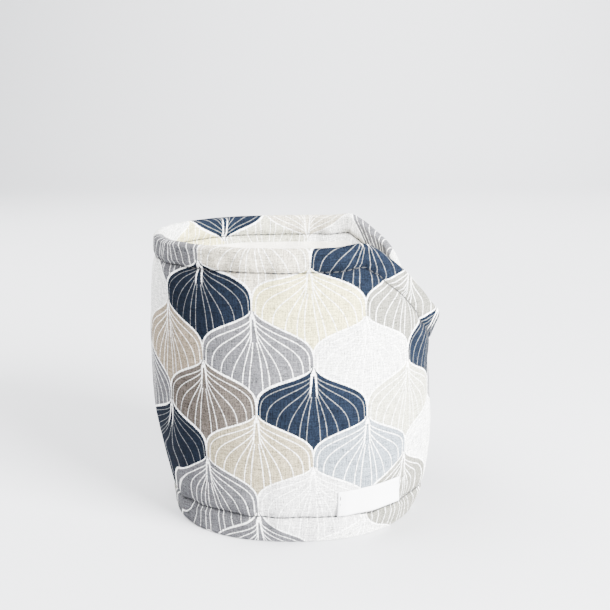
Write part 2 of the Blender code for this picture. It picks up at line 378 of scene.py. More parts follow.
class Column:
    """The band's section at one turn, from the hem to the rim."""

    def __init__(self, shape: BandShape, turn: float) -> None:
        """Works out what stays the same all the way up.

        Args:
            shape: The band.
            turn: Where the section is, in degrees from the band's outer end.
        """
        self.shape = shape
        self.turn = turn
        self.azimuth = shape.lap - turn
        self.rim = shape.rim_height(turn)
        self.slant = shape.slant(turn)
        self.hem_seam = shape.hem_seam.at(self.azimuth)
        self.lift = self.hem_seam / shape.hem_seam_row
        self.rim_seam = self.rim - shape.rim_seam * self.slant
        self.from_end = shape.turn_mm * min(turn, shape.whole - turn)
        self.inner = shape.lapped(turn)
        self.radius = Curve(
            tuple(shape.sections), tuple(around.at(self.azimuth) for around in shape.sections.values())
        )
        self.wave = sum(ripple.at(self.azimuth) for ripple in shape.ripples)

    def flare(self, depth: float) -> float:
        """Gives how far the rim stands out beside the notch, on the outer layer only.

        Args:
            depth: The depth below the rim, in mm.

        Returns:
            The push outward.
        """
        shape = self.shape
        outer = 1 - smoothstep(360 - 2 * shape.lap_ease, 360 - shape.lap_ease, self.turn)
        near = bell(abs(between(shape.lap, self.turn)) - shape.flare_away, shape.flare_width)
        return shape.flare * near * (1 - smoothstep(*shape.flare_depth, depth)) * outer

    def to_seam(self, z: float) -> float:
        """Gives the distance from a height to the nearest row of stitches, in mm."""
        rows = min(abs(z - self.hem_seam), abs(z - self.rim_seam))
        return min(rows, abs(self.from_end - self.shape.end_seam))

    def thickness(self, z: float) -> float:
        """Gives the band's thickness at a height, pinched along its stitches.

        Args:
            z: The height.

        Returns:
            The thickness, in mm.
        """
        shape = self.shape
        depth = max(0.0, self.rim - z)
        thick = min(shape.hem_thick.at(z / self.lift), shape.rim_thick.at(depth / self.slant))
        thick += (min(thick, shape.lap_thick) - thick) * self.inner
        thick = min(thick, shape.end_thick.at(self.from_end))
        if self.from_end < shape.end_pinch_reach:
            near = bell(self.from_end - shape.end_seam, shape.end_pinch_width)
            thick -= shape.end_pinch * thick * near
        return thick - shape.groove * bell(self.to_seam(z), shape.groove_width)

    def middle_radius(self, z: float) -> float:
        """Gives the radius of the middle of the band's wall at a height.

        Args:
            z: The height.

        Returns:
            The radius, in mm.
        """
        shape = self.shape
        rise = sum(fold.at(self.azimuth, z) for fold in shape.folds)
        reach = min(abs(z - self.hem_seam), abs(z - self.rim + shape.rim_seam))
        rise += self.wave * bell(reach, shape.ripple_reach) + self.flare(self.rim - z)
        step = shape.lap_step_hem + (shape.lap_step - shape.lap_step_hem) * min(1.0, z / shape.lap_step_z)
        smooth = self.radius.at(z) + smoothstep(0, shape.settled_z, z) * rise
        return smooth - shape.wall / 2 - step * self.inner

    def unevenness(self, z: float) -> float:
        """Gives the small push of puckers along the seams and of the cloth's own slack.

        Args:
            z: The height.

        Returns:
            The push, in mm.
        """
        shape = self.shape
        along = self.azimuth * shape.turn_mm
        long, high = shape.pucker_size
        crease = noise.noise(Vector((along / long, z / high, PUCKER_NOISE)))
        soft = noise.noise(Vector((along / shape.slack_length, z / shape.slack_length, SLACK_NOISE)))
        puckers = shape.pucker * crease * bell(self.to_seam(z) - shape.pucker_aside, shape.pucker_reach)
        edge = smoothstep(0, shape.settled_z, z) * smoothstep(0, shape.settled_end, self.from_end)
        return edge * (puckers + shape.slack * soft)

    def point(self, z: float, side: float) -> Vector:
        """Gives a point of the band.

        Args:
            z: Its height.
            side: 1 on the outer face, -1 on the inner face, 0 in the middle of the wall.

        Returns:
            The point, in metres.
        """
        radius = self.middle_radius(z) + self.unevenness(z) + side * self.thickness(z) / 2
        return self.shape.place(self.azimuth, radius, z)


@dataclass(frozen=True)
class Surface:
    """How a finish takes the light: how rough it is, the sheen of its fibres and how much it reflects."""

    roughness: float
    sheen: float
    gloss: float
    sheen_roughness: float = 0.5


class Number:
    """A number that a material works out. Plain arithmetic on it adds Math nodes."""

    def __init__(self, graph: "Graph", socket: bpy.types.NodeSocket) -> None:
        """Keeps the material's nodes and the socket that gives the number."""
        self.graph = graph
        self.socket = socket

    def __add__(self, other: Input) -> "Number":
        """Gives the sum."""
        return self.graph.math("ADD", self, other)

    def __sub__(self, other: Input) -> "Number":
        """Gives the difference."""
        return self.graph.math("SUBTRACT", self, other)

    def __rsub__(self, other: float) -> "Number":
        """Gives the difference from a plain number."""
        return self.graph.math("SUBTRACT", other, self)

    def __mul__(self, other: Input) -> "Number":
        """Gives the product."""
        return self.graph.math("MULTIPLY", self, other)

    def __truediv__(self, other: Input) -> "Number":
        """Gives the quotient."""
        return self.graph.math("DIVIDE", self, other)

    def __mod__(self, other: float) -> "Number":
        """Gives what is left of whole steps, never below 0."""
        return self.graph.math("FLOORED_MODULO", self, other)

    def __pow__(self, power: float) -> "Number":
        """Gives a power."""
        return self.graph.math("POWER", self, power)

    def __abs__(self) -> "Number":
        """Gives the size without its sign."""
        return self.graph.math("ABSOLUTE", self)

    def __gt__(self, other: Input) -> "Number":
        """Gives 1 where it is greater and 0 elsewhere."""
        return self.graph.math("GREATER_THAN", self, other)

    def __lt__(self, other: Input) -> "Number":
        """Gives 1 where it is less and 0 elsewhere."""
        return self.graph.math("LESS_THAN", self, other)

    def or_more(self, other: Input) -> "Number":
        """Gives the greater of the two."""
        return self.graph.math("MAXIMUM", self, other)

    def or_less(self, other: Input) -> "Number":
        """Gives the lesser of the two."""
        return self.graph.math("MINIMUM", self, other)

    def exp(self) -> "Number":
        """Gives e to the power of the number."""
        return self.graph.math("EXPONENT", self)

    def root(self) -> "Number":
        """Gives the square root."""
        return self.graph.math("SQRT", self)

    def crowns(self, pitch: float) -> "Number":
        """Gives round crowns from 0 to 1, a pitch apart."""
        return abs(self.graph.math("SINE", self * (math.pi / pitch)))

    def nearest(self) -> "Number":
        """Gives the nearest whole number."""
        return self.graph.math("ROUND", self)

    def whole_above(self) -> "Number":
        """Gives the next whole number up."""
        return self.graph.math("CEIL", self)


class Graph:
    """The nodes of one material, added and joined in a few words."""

    def __init__(self, name: str) -> None:
        """Starts a material that has one Principled shader.

        Args:
            name: The material's name.
        """
        self.material = bpy.data.materials.new(name)
        self.material.use_nodes = True
        self.tree = self.material.node_tree
        self.shader = self.tree.nodes["Principled BSDF"]

    def feed(self, socket: bpy.types.NodeSocket, value: object) -> None:
        """Joins a socket to another, or sets it to a plain value.

        Args:
            socket: The input.
            value: A Number, an output socket, a plain number or a colour.
        """
        given = value.socket if isinstance(value, Number) else value
        if isinstance(given, bpy.types.NodeSocket):
            self.tree.links.new(given, socket)
        else:
            socket.default_value = given

    def node(self, kind: str, **settings: object) -> bpy.types.Node:
        """Adds a node.

        Args:
            kind: The node's type in Blender.
            settings: The attributes that it is given.

        Returns:
            The node.
        """
        made = self.tree.nodes.new(kind)
        for name, value in settings.items():
            setattr(made, name, value)
        return made

    def math(self, operation: str, *inputs: Input) -> Number:
        """Adds a Math node.

        Args:
            operation: What it does, in Blender's word for it.
            inputs: A number for each of its inputs.

        Returns:
            What it gives.
        """
        made = self.node("ShaderNodeMath", operation=operation)
        for socket, value in zip(made.inputs, inputs):
            self.feed(socket, value)
        return Number(self, made.outputs[0])

    def choose(self, share: Number, first: Number, second: Number) -> Number:
        """Mixes two numbers: the first at a share of 0, and the second at 1.

        Args:
            share: How much of the second.
            first: The first number.
            second: The second number.

        Returns:
            The mixed number.
        """
        made = self.node("ShaderNodeMix", data_type="FLOAT")
        for name, value in zip(("Factor", "A", "B"), (share, first, second)):
            self.feed(made.inputs[name], value)
        return Number(self, made.outputs["Result"])

    def smoothstep(self, low: float, high: float, at: Number) -> Number:
        """Gives 0 at low, 1 at high, and an S curve between them.

        Args:
            low: Where the curve leaves 0.
            high: Where it reaches 1, above or below low.
            at: Where it is read.

        Returns:
            The curve's value, from 0 to 1.
        """
        made = self.node("ShaderNodeMapRange", interpolation_type="SMOOTHSTEP")
        for name, value in zip(("Value", "From Min", "From Max"), (at, low, high)):
            self.feed(made.inputs[name], value)
        return Number(self, made.outputs[0])

    def blend(self, share: Input, first: object, second: object, mode: str = "MIX") -> bpy.types.NodeSocket:
        """Mixes two colours: the first at a share of 0, and the second at 1.

        Args:
            share: How much of the second.
            first: The first colour.
            second: The second colour.
            mode: How they mix, in Blender's word for it.

        Returns:
            The mixed colour.
        """
        made = self.node("ShaderNodeMix", data_type="RGBA", blend_type=mode)
        colours = [socket for socket in made.inputs if socket.type == "RGBA"]
        self.feed(made.inputs["Factor"], share)
        self.feed(colours[0], first)
        self.feed(colours[1], second)
        return next(socket for socket in made.outputs if socket.type == "RGBA")

    def toned(self, colour: object, tone: Number) -> bpy.types.NodeSocket:
        """Gives a colour, darker or lighter by a tone near 1."""
        return self.blend(1.0, colour, tone, "MULTIPLY")

    def brightness(self, colour: bpy.types.NodeSocket) -> Number:
        """Gives how bright a colour is.

        Args:
            colour: The colour.

        Returns:
            Its brightness, from 0 to 1.
        """
        made = self.node("ShaderNodeRGBToBW")
        self.feed(made.inputs[0], colour)
        return Number(self, made.outputs[0])

    def within(self, width: Input, distance: Number, soft: float) -> Number:
        """Gives 1 nearer than the width and 0 beyond it, with a soft edge.

        Args:
            width: How near.
            distance: The distance that is tested.
            soft: The width of the edge.

        Returns:
            The share, from 0 to 1.
        """
        made = self.node("ShaderNodeClamp")
        self.feed(made.inputs["Value"], self.math("SUBTRACT", width, distance) / soft + 0.5)
        return Number(self, made.outputs[0])

    def place_on(self, map_name: str) -> tuple[Number, Number]:
        """Gives the two coordinates of one of the piece's own maps.

        Args:
            map_name: The map's name.

        Returns:
            The coordinate along the map and the one up it.
        """
        split = self.node("ShaderNodeSeparateXYZ")
        self.feed(split.inputs[0], self.node("ShaderNodeUVMap", uv_map=map_name).outputs[0])
        return Number(self, split.outputs[0]), Number(self, split.outputs[1])

    def cloth_place(self) -> tuple[Number, Number]:
        """Gives how far along and how far up the cloth a point is, in mm."""
        along, up = self.place_on(CLOTH_MAP)
        return along / MM, up / MM

    def grain(self, along: Number, up: Number, long: float, high: float, detail: float = 2.0) -> Number:
        """Gives an uneven value from about 0 to 1, in patches as long and as high as is asked.

        Args:
            along: The coordinate along the cloth, in mm.
            up: The coordinate up it.
            long: The length of a patch, in mm.
            high: The height of a patch.
            detail: How fine the patches break up.

        Returns:
            The value.
        """
        joined = self.node("ShaderNodeCombineXYZ")
        self.feed(joined.inputs[0], along / long)
        self.feed(joined.inputs[1], up / high)
        made = self.node("ShaderNodeTexNoise", noise_dimensions="2D")
        self.feed(made.inputs["Vector"], joined.outputs[0])
        made.inputs["Scale"].default_value = 1.0
        made.inputs["Detail"].default_value = detail
        return Number(self, made.outputs[0])

    def bump(self, height: Number, depth: float, strength: float) -> None:
        """Raises the shader's surface by a height.

        Args:
            height: The height, from about 0 to 1.
            depth: What a height of 1 is, in mm.
            strength: How much of it shows.
        """
        made = self.node("ShaderNodeBump")
        made.inputs["Strength"].default_value = strength
        made.inputs["Distance"].default_value = depth * MM
        self.feed(made.inputs["Height"], height)
        self.feed(self.shader.inputs["Normal"], made.outputs[0])

    def finish(self, colour: object, surface: Surface) -> bpy.types.Material:
        """Sets the shader and gives the material.

        Args:
            colour: The colour, or the socket that gives it.
            surface: How the finish takes the light.

        Returns:
            The material.
        """
        inputs = self.shader.inputs
        self.feed(inputs["Base Color"], colour)
        inputs["Roughness"].default_value = surface.roughness
        inputs["Sheen Weight"].default_value = surface.sheen
        inputs["Sheen Roughness"].default_value = surface.sheen_roughness
        inputs["Specular IOR Level"].default_value = surface.gloss
        return self.material


def linear(red: int, green: int, blue: int) -> Colour:
    """Turns a colour as a screen shows it into the one that a shader needs.

    Args:
        red: From 0 to 255.
        green: From 0 to 255.
        blue: From 0 to 255.

    Returns:
        The linear colour, with an alpha of 1.
    """
    def channel(value: int) -> float:
        """Gives one channel's linear value, by the sRGB standard's curve."""
        share = value / 255
        return share / 12.92 if share <= 0.04045 else ((share + 0.055) / 1.055) ** 2.4

    return (channel(red), channel(green), channel(blue), 1.0)


class Tint(Enum):
    """The colours that the cloth is printed with."""

    NAVY = linear(17, 23, 33)
    TAUPE = linear(78, 72, 67)
    GREY = linear(88, 88, 91)
    WARM_GREY = linear(112, 111, 103)
    MIST = linear(115, 123, 130)
    BEIGE = linear(141, 132, 110)
    SAND = linear(130, 118, 102)
    OAT = linear(176, 170, 154)
    CREAM = linear(190, 183, 139)
    IVORY = linear(172, 171, 154)
    PEARL = linear(196, 195, 194)
    WHITE = linear(212, 212, 209)


@dataclass(frozen=True)
class Weave:
    """A plain weave of cotton threads, a little uneven."""

    pitch: float = 0.42
    wander: float = 0.12
    wander_length: float = 2.5
    crown_middle: float = 0.4
    speck: float = 0.6
    speck_rise: float = 0.35
    slub: tuple[float, float] = (0.5, 5.0)
    depth: float = 0.14
    strength: float = 0.6
    painted_gap_shade: float = 0.4
    speck_shade: float = 1.5
    slub_shade: float = 1.3

    def lay(self, graph: Graph, along: Number, up: Number) -> Number:
        """Raises the weave on a surface.

        Args:
            graph: The material's nodes.
            along: The coordinate along the cloth, in mm.
            up: The coordinate up it.

        Returns:
            A factor near 1 by which the weave darkens or lightens the colour: painted shade in the gaps
            between the threads, lighter on their crowns, and the cloth's own uneven tone of slubs and specks.
        """
        thin, long = self.slub
        shift = graph.grain(along, up, self.wander_length, self.wander_length) * self.wander
        crown = (along + shift).crowns(self.pitch) * (up + shift).crowns(self.pitch)
        slubs = graph.grain(along, up, thin, long) + graph.grain(along, up, long, thin) - 2 * GRAIN_MIDDLE
        specks = graph.grain(along, up, self.speck, self.speck, detail=1.0) - GRAIN_MIDDLE
        graph.bump(crown + slubs + specks * self.speck_rise, self.depth, self.strength)
        # Painted shade: darker in the gaps between the threads and lighter on their crowns; the slubs and
        # specks are the cloth's own uneven tone.
        threads = (crown - self.crown_middle) * self.painted_gap_shade
        return threads + slubs * self.slub_shade + specks * self.speck_shade + 1.0


@dataclass(frozen=True)
class Vein:
    """A line down both sides of a motif, from its middle outward until it runs straight down at its reach."""

    reach: float
    start: float
    length: float
    bend: float = 2.4
    seen_from: float = 0.0
    least_drop: float = 0.01

    def at(self, drop: Number) -> tuple[Number, Number]:
        """Follows the line down.

        Args:
            drop: The distance below the motif's tip, in mm.

        Returns:
            The line's distance from the motif's middle, and how fast it grows.
        """
        below = (drop - self.start).or_more(self.least_drop)
        turned = (below / self.length) ** self.bend
        left = (turned * -1.0).exp()
        return (1.0 - left) * self.reach, turned * left / below * (self.reach * self.bend)

    def away(self, aside: Number, drop: Number) -> Number:
        """Gives how far a point is from the line.

        Args:
            aside: The point's distance from the motif's middle.
            drop: Its distance below the tip.

        Returns:
            The distance, square to the line, and far too much above the place where the line is first seen.
        """
        place, slope = self.at(drop)
        hidden = (drop < self.seen_from) * FAR
        return abs(aside - place) / (slope * slope + 1.0).root() + hidden


@dataclass(frozen=True)
class Pull:
    """A soft drag of the print, whose cloth is sewn a little off the straight.

    It grows from nothing at the first to its whole at the second of along and of up.
    """

    along: tuple[float, float] = (-500.0, -499.0)
    up: tuple[float, float] = (-100.0, -99.0)
    back: float = 0.0
    down: float = 0.0

    def share(self, graph: Graph, along: Number, up: Number) -> Number:
        """Gives how much of the drag there is at a point, from 0 to 1."""
        return graph.smoothstep(*self.along, along) * graph.smoothstep(*self.up, up)


@dataclass(frozen=True)
class ScalePrint:
    """An overlapping scale repeat with pale veins, worked out by a formula and coloured by a short chart.

    Motifs stand in columns, half a repeat higher in each second one, and a lower motif overlaps a higher one.
    """

    column: float = 23.1
    repeat: float = 42.0
    first_along: float = 9.5
    first_up: float = -5.6
    tip: float = 1.05
    edge: Vein = Vein(reach=22.7, start=0, length=7.25, bend=1.92)
    veins: tuple[Vein, ...] = (
        Vein(reach=21.6, start=1.4, length=8.25, seen_from=3.2),
        Vein(reach=19.1, start=2.05, length=10.3, seen_from=4.7),
        Vein(reach=15.2, start=1.95, length=13.4, bend=2.7, seen_from=6.9),
        Vein(reach=11.0, start=1.85, length=16.4, seen_from=9.0),
        Vein(reach=5.9, start=1.45, length=16.6, seen_from=11.0),
        Vein(reach=3.0, start=0, length=19.6, seen_from=12.0),
    )
    vein_width: float = 0.25
    vein_spread: float = 0.12
    vein_wander: float = 0.6
    vein_patch: float = 1.2
    vein_clear: tuple[float, float, float] = (0.095, 9.0, 0.9)
    dark: tuple[float, float] = (0.1, 0.02)
    outline_width: float = 0.7
    outline_start: float = 0.35
    outline_grown: float = 6.0
    outline_dark: float = 0.35
    head_width: float = 0.1
    head_slope: float = 0.36
    head_length: float = 3.2
    stroke_width: float = 0.9
    stroke_taper: float = 0.04
    stroke_aside: float = 0.55
    stroke_slope: float = 0.072
    stroke_length: float = 11.4
    stroke_fade: float = 2.4
    soft: float = 0.12
    ragged: float = 0.3
    ragged_length: float = 0.5
    opaque: float = 0.97
    pulls: tuple[Pull, ...] = (
        Pull(along=(-20, 75), down=3.8),
        Pull(along=(-15, -45), up=(70, 125), back=3.0),
        Pull(along=(30, 60), up=(60, 25), back=3.0),
        Pull(along=(-46, -86), up=(52, 30), back=20.0),
        Pull(along=(-100, -150), up=(52, 30), back=-20.0),
        Pull(along=(-100, -140), up=(40, 10), down=-10.0),
        Pull(along=(-38, -60), up=(50, 34), down=3.2),
        Pull(along=(-60, -76), up=(46, 28), down=5.0),
        Pull(along=(-56, -74), up=(18, 4), down=-7.0),
        Pull(along=(-36, -54), up=(26, 6), down=9.5),
        Pull(along=(52, 66), up=(24, 6), down=9.0),
        Pull(along=(-45, -60), up=(40, 60), back=-3.0),
        Pull(along=(-28, -14), up=(80, 102), back=1.5),
        Pull(along=(0, -15), up=(80, 100), down=-1.0),
        Pull(along=(40, 55), up=(50, 35), down=-2.0),
        Pull(up=(111, 119), down=1.6),
        Pull(up=(20, 2), down=4.2),
    )
    line: Colour = linear(250, 250, 248)
    chart: tuple[tuple[Tint, Tint, Tint, Tint], ...] = (
        (Tint.IVORY, Tint.PEARL, Tint.NAVY, Tint.CREAM),
        (Tint.WHITE, Tint.MIST, Tint.WHITE, Tint.NAVY),
        (Tint.CREAM, Tint.WARM_GREY, Tint.IVORY, Tint.WARM_GREY),
        (Tint.WARM_GREY, Tint.WHITE, Tint.NAVY, Tint.WHITE),
        (Tint.BEIGE, Tint.WARM_GREY, Tint.GREY, Tint.WHITE),
        (Tint.WHITE, Tint.NAVY, Tint.SAND, Tint.GREY),
        (Tint.WHITE, Tint.GREY, Tint.TAUPE, Tint.NAVY),
        (Tint.GREY, Tint.BEIGE, Tint.GREY, Tint.OAT),
    )

    def columns(self, along: Number, up: Number, second: bool) -> dict[str, Number]:
        """Finds the motif that covers a point, in every first or every second column.

        Args:
            along: The coordinate along the cloth, in mm.
            up: The coordinate up it.
            second: Whether the second columns are looked at, half a repeat higher.

        Returns:
            The distance aside from the motif's middle and below its tip, and its place in the chart.
        """
        wide = 2 * self.column
        from_first = along - (self.first_along + (self.column if second else 0))
        index = (from_first / wide).nearest()
        aside = abs(from_first - index * wide)
        from_up = up - (self.first_up + (self.repeat / 2 if second else 0))
        row = (from_up / self.repeat).whole_above()
        drop = row * self.repeat - from_up
        outside = aside > self.edge.at(drop)[0] + self.tip
        return {
            "aside": aside,
            "drop": drop + outside * self.repeat,
            "row": row + outside,
            "column": index * 2.0 + (1.0 if second else 0.0),
        }

    def outline(self, graph: Graph, aside: Number, drop: Number, bright: Number) -> Number:
        """Gives where a motif's outline is, which grows from its tip and is wider on a dark motif.

        Args:
            graph: The material's nodes.
            aside: The distance from the motif's middle.
            drop: The distance below its tip.
            bright: The brightness of its colour.

        Returns:
            The share of white.
        """
        reach, slope = self.edge.at(drop)
        inside = (reach + self.tip - aside) / (slope * slope + 1.0).root()
        full = graph.smoothstep(*self.dark, bright) * self.outline_dark + self.outline_width
        grown = graph.smoothstep(0.0, self.outline_grown, drop)
        return graph.within((full - self.outline_start) * grown + self.outline_start, inside, self.soft)

    def fine_veins(self, graph: Graph, aside: Number, drop: Number, bright: Number) -> Number:
        """Gives where a motif's veins are, which are finer on a dark motif, whose colour partly fills them.

        Args:
            graph: The material's nodes.
            aside: The distance from the motif's middle.
            drop: The distance below its tip.
            bright: The brightness of its colour.

        Returns:
            The share of white.
        """
        nearest = self.veins[0].away(aside, drop)
        for vein in self.veins[1:]:
            nearest = nearest.or_less(vein.away(aside, drop))
        grain = graph.grain(aside, drop, self.vein_patch, self.vein_patch)
        uneven = grain * (2 * self.vein_wander) + (1 - self.vein_wander)
        least, growth, most = self.vein_clear
        clear = (bright * growth + least).or_less(most)
        dark = graph.smoothstep(*self.dark, bright)
        width = (1.0 - dark) * self.vein_spread + self.vein_width
        return graph.within(uneven * width * 0.5, nearest, self.soft) * clear

    def strokes(self, graph: Graph, aside: Number, drop: Number) -> Number:
        """Gives where the head and the two tapering strokes below a motif's tip are.

        Args:
            graph: The material's nodes.
            aside: The distance from the motif's middle.
            drop: The distance below its tip.

        Returns:
            The share of white.
        """
        head = graph.within(drop * self.head_slope + self.head_width, aside, self.soft)
        head = head * graph.within(self.head_length, drop, self.soft)
        beside = abs(aside - drop * self.stroke_slope - self.stroke_aside)
        half = (self.stroke_width - drop * self.stroke_taper) * 0.5
        ending = graph.within(self.stroke_length, drop, self.stroke_fade)
        strokes = graph.within(half, beside, self.soft) * ending
        return head.or_more(strokes * (drop > self.head_length))

    def tints(self, graph: Graph, column: Number, row: Number) -> bpy.types.NodeSocket:
        """Gives a motif's colour, from the chart.

        Args:
            graph: The material's nodes.
            column: Its column.
            row: Its row.

        Returns:
            The colour.
        """
        rows = len(self.chart[0])
        cells = [tint for tints in self.chart for tint in tints]
        cell = column % len(self.chart) * rows + row % rows
        ramp = graph.node("ShaderNodeValToRGB")
        ramp.color_ramp.interpolation = "CONSTANT"
        while len(ramp.color_ramp.elements) < len(cells):
            ramp.color_ramp.elements.new(1.0)
        for k, tint in enumerate(cells):
            ramp.color_ramp.elements[k].position = k / len(cells)
            ramp.color_ramp.elements[k].color = tint.value
        graph.feed(ramp.inputs[0], (cell + 0.5) / len(cells))
        return ramp.outputs[0]

    def colour(self, graph: Graph, along: Number, up: Number) -> bpy.types.NodeSocket:
        """Prints the repeat on a surface.

        Args:
            graph: The material's nodes.
            along: The coordinate along the cloth, in mm.
            up: The coordinate up it.

        Returns:
            The colour.
        """
        grain = graph.grain(along, up, self.ragged_length, self.ragged_length)
        ragged = (grain - GRAIN_MIDDLE) * self.ragged
        at, level = along + ragged, up + ragged
        for pull in self.pulls:
            share = pull.share(graph, along, up)
            at = at + share * pull.back
            level = level + share * pull.down
        first = self.columns(at, level, False)
        second = self.columns(at, level, True)
        lower = second["drop"] < first["drop"]
        found = {key: graph.choose(lower, first[key], second[key]) for key in first}
        aside, drop = found["aside"], found["drop"]
        ground = self.tints(graph, found["column"], found["row"])
        bright = graph.brightness(ground)
        white = self.strokes(graph, aside, drop)
        for lines in (self.outline, self.fine_veins):
            white = white.or_more(lines(graph, aside, drop, bright))
        return graph.blend(white * self.opaque, ground, self.line)


@dataclass(frozen=True)
class PrintedCotton:
    """The outer cloth: plain-weave cotton with the scale print."""

    weave: Weave = Weave()
    pattern: ScalePrint = ScalePrint()
    # Painted shade along the seams: the width in mm and how much darker, for a narrow dark line and a wide
    # soft band.
    painted_seam_shade: tuple[tuple[float, float], ...] = ((0.42, 0.62), (2.4, 0.14))
    surface: Surface = Surface(roughness=0.9, sheen=0.0, gloss=0.03)

    def material(self) -> bpy.types.Material:
        """Makes the finish, with painted shade that darkens the colour in the crease that each row of
        stitches draws in and softly beside it.

        Returns:
            The finish.
        """
        graph = Graph("printed_cotton")
        along, up = graph.cloth_place()
        tone = self.weave.lay(graph, along, up)
        colour = self.pattern.colour(graph, along, up)
        # Painted shade: the colour darkens by each row of stitches, in a narrow line and a wide soft band.
        for width, shade in self.painted_seam_shade:
            from_seam = graph.place_on(CREASE_MAP)[0] / (width * MM)
            tone = tone * (1.0 - (from_seam * from_seam * -1.0).exp() * shade)
        return graph.finish(graph.toned(colour, tone), self.surface)


@dataclass(frozen=True)
class LiningCotton:
    """The plain pale cloth inside."""

    weave: Weave = Weave(pitch=0.5, speck_shade=0.4, slub_shade=0.4)
    colour: Colour = linear(228, 224, 214)
    surface: Surface = Surface(roughness=0.9, sheen=0.05, gloss=0.1)

    def material(self) -> bpy.types.Material:
        """Makes the finish.

        Returns:
            The finish.
        """
        graph = Graph("lining_cotton")
        tone = self.weave.lay(graph, *graph.cloth_place())
        return graph.finish(graph.toned(self.colour, tone), self.surface)


@dataclass(frozen=True)
class Thread:
    """Two-ply sewing thread."""

    colour: Colour = linear(32, 33, 37)
    plies: float = 9.0
    twist: float = 2.0
    depth: float = 0.08
    strength: float = 0.6
    painted_shade_between_plies: float = 0.7
    painted_light_on_plies: float = 1.05
    surface: Surface = Surface(roughness=0.7, sheen=0.1, gloss=0.25)

    def material(self) -> bpy.types.Material:
        """Makes the finish, with painted shade between the plies and a little painted light on them.

        Returns:
            The finish.
        """
        graph = Graph("grey_thread")
        around, along = graph.place_on(THREAD_MAP)
        ply = (along * self.plies + around * self.twist).crowns(1.0)
        graph.bump(ply, self.depth, self.strength)
        # Painted shade between the plies and painted light on their crowns.
        tone = ply * (self.painted_light_on_plies - self.painted_shade_between_plies) + self.painted_shade_between_plies
        return graph.finish(graph.toned(self.colour, tone), self.surface)


@dataclass(frozen=True)
class LabelTapeWeave:
    """Smooth white woven tape, with fine ribs across it."""

    colour: Colour = linear(242, 242, 243)
    rib: tuple[float, float] = (0.32, 0.192)
    streak: tuple[float, float] = (3.0, 0.3)
    depth: float = 0.05
    strength: float = 0.4
    painted_shade_between_ribs: float = 0.95
    surface: Surface = Surface(roughness=0.55, sheen=0.1, gloss=0.3)

    def material(self) -> bpy.types.Material:
        """Makes the finish, with a little painted shade between the ribs.

        Returns:
            The finish.
        """
        graph = Graph("label_weave")
        along, up = graph.cloth_place()
        wide, high = self.rib
        threads = along.crowns(wide) * up.crowns(high)
        graph.bump(threads + graph.grain(along, up, *self.streak), self.depth, self.strength)
        # Painted shade: a little darker between the ribs.
        tone = threads * (1 - self.painted_shade_between_ribs) + self.painted_shade_between_ribs
        return graph.finish(graph.toned(self.colour, tone), self.surface)


@dataclass(frozen=True)
class Plain:
    """A plain matt finish for the floor."""

    colour: Colour = linear(200, 201, 204)
    surface: Surface = Surface(roughness=0.8, sheen=0.0, gloss=0.3)

    def material(self) -> bpy.types.Material:
        """Makes the finish."""
        return Graph("pale_floor").finish(self.colour, self.surface)


def layers(sheet: bmesh.types.BMesh) -> list[bmesh.types.BMLayerItem]:
    """Gives a sheet's layers that hold each point's column, row and side."""
    return [sheet.verts.layers.int[name] for name in LAYERS]


@dataclass
class Grid:
    """A closed sheet: a grid of points, doubled and joined round its edge."""

    name: str
    columns: int
    rows: int

    def build(self, place: Place) -> bmesh.types.BMesh:
        """Makes the sheet, with each point's column, row and side in its layers.

        Args:
            place: Gives the point at a column and a row, on side 1 or side -1.

        Returns:
            The sheet's mesh.
        """
        sheet = bmesh.new()
        bmesh.ops.create_grid(sheet, x_segments=self.columns - 1, y_segments=self.rows - 1, size=1)
        column, row, side = (sheet.verts.layers.int.new(name) for name in LAYERS)
        for vert in sheet.verts:
            vert[column] = round((vert.co.x + 1) / 2 * (self.columns - 1))
            vert[row] = round((vert.co.y + 1) / 2 * (self.rows - 1))
            vert[side] = 1
        outer = set(sheet.verts)
        bmesh.ops.extrude_face_region(sheet, geom=sheet.faces[:])
        for vert in sheet.verts:
            if vert not in outer:
                vert[side] = -1
            vert.co = place(vert[column], vert[row], vert[side])
        sheet.normal_update()
        bmesh.ops.recalc_face_normals(sheet, faces=sheet.faces)
        return sheet

    def finish(self, sheet: bmesh.types.BMesh, finishes: Sequence[bpy.types.Material]) -> bpy.types.Object:
        """Turns the sheet into an object.

        Args:
            sheet: The sheet's mesh, which is freed.
            finishes: Its materials.

        Returns:
            The object.
        """
        for name in LAYERS:
            sheet.verts.layers.int.remove(sheet.verts.layers.int[name])
        return to_object(self.name, sheet, finishes)


def to_object(name: str, made: bmesh.types.BMesh, finishes: Sequence[bpy.types.Material]) -> bpy.types.Object:
    """Turns a bmesh into an object that stands at the origin, shaded smooth.

    Args:
        name: The object's name.
        made: The bmesh, which is freed.
        finishes: The object's materials.

    Returns:
        The object.
    """
    mesh = bpy.data.meshes.new(name)
    made.to_mesh(mesh)
    made.free()
    mesh.shade_smooth()
    for finish in finishes:
        mesh.materials.append(finish)
    piece = bpy.data.objects.new(name, mesh)
    bpy.context.collection.objects.link(piece)
    return piece


def measured(path: Sequence[Vector], start: float, way: int = 1) -> list[float]:
    """Measures along a path.

    Args:
        path: Its points.
        start: The length at the first point.
        way: 1 where lengths grow along it and -1 where they fall.

    Returns:
        The length at each point.
    """
    lengths = [start]
    for here, there in zip(path, path[1:]):
        lengths.append(lengths[-1] + way * (there - here).length)
    return lengths


def split_evenly(knots: Sequence[float], parts: int) -> list[float]:
    """Splits each gap between knots into even parts.

    Args:
        knots: The knots, in order.
        parts: How many parts each gap is split into.

    Returns:
        The knots and what lies between them.
    """
    made = [a + (b - a) * k / parts for a, b in zip(knots, knots[1:]) for k in range(parts)]
    return [*made, knots[-1]]


